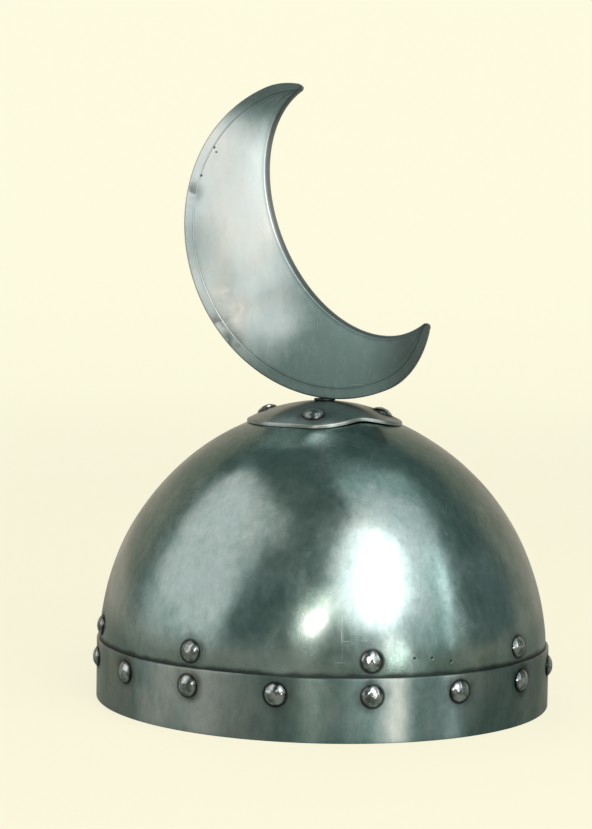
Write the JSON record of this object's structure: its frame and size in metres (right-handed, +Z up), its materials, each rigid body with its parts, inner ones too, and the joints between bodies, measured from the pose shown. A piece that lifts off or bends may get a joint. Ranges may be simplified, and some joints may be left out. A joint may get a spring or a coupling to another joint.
{
  "type": "cervelliere helmet",
  "caption": "Domed steel skullcap helmet with a riveted brow band, lobed crown plate, leather liner and a hollow crescent crest that turns on a stem.",
  "frame": {"origin": "centre of the rim's lower edge, on the helmet's middle plane", "axes": "+Z up through the crown and the crest's stem, -Y towards the front, +X towards the wearer's left"},
  "size_m": [0.2214, 0.2452, 0.3233],
  "materials": {
    "skull_steel": "polished steel sheet with dark smoky patches, fine scratches and a green-grey cast",
    "band_steel": "polished steel band, darker round its rivets",
    "plate_steel": "darker burnished steel with a bright rolled edge",
    "rivet_steel": "bright hammered heads with a dark line underneath",
    "crescent_steel": "pale burnished steel with a blue-green bloom and small pits",
    "stem_steel": "dark blackened steel",
    "bright_steel": "plain zinc-plated steel",
    "liner_leather": "dark brown vegetable-tanned leather",
    "tongue_leather": "tan vegetable-tanned leather, creased and rubbed",
    "rivet_brass": "dull brass"
  },
  "bodies": {
    "helmet": {"skull": "skull_steel", "brow_band": "band_steel", "band_rivets": "rivet_steel", "liner_rivets": "rivet_steel", "liner_washers": "bright_steel", "crown_plate": "plate_steel", "crown_rivets": "rivet_steel", "crest_washer": "bright_steel", "liner_band": "liner_leather", "liner_tongue_1": "tongue_leather", "liner_tongue_2": "tongue_leather", "liner_tongue_3": "tongue_leather", "liner_tongue_4": "tongue_leather", "liner_tongue_5": "tongue_leather", "liner_tongue_6": "tongue_leather", "liner_tongue_7": "tongue_leather", "liner_tongue_8": "tongue_leather", "liner_crown_disc": "liner_leather", "liner_crown_rivets": "rivet_brass"},
    "crest": {"crescent_right": "crescent_steel", "crescent_left": "crescent_steel", "crest_stem": "stem_steel", "crest_nut": "bright_steel", "crest_locknut": "bright_steel"}
  },
  "joints": [
    {"name": "crest_swivel", "type": "hinge", "parent": "helmet", "child": "crest", "pos_m": [0, 0, 0.157], "axis": [0, 0, 1], "continuous": true}
  ]
}
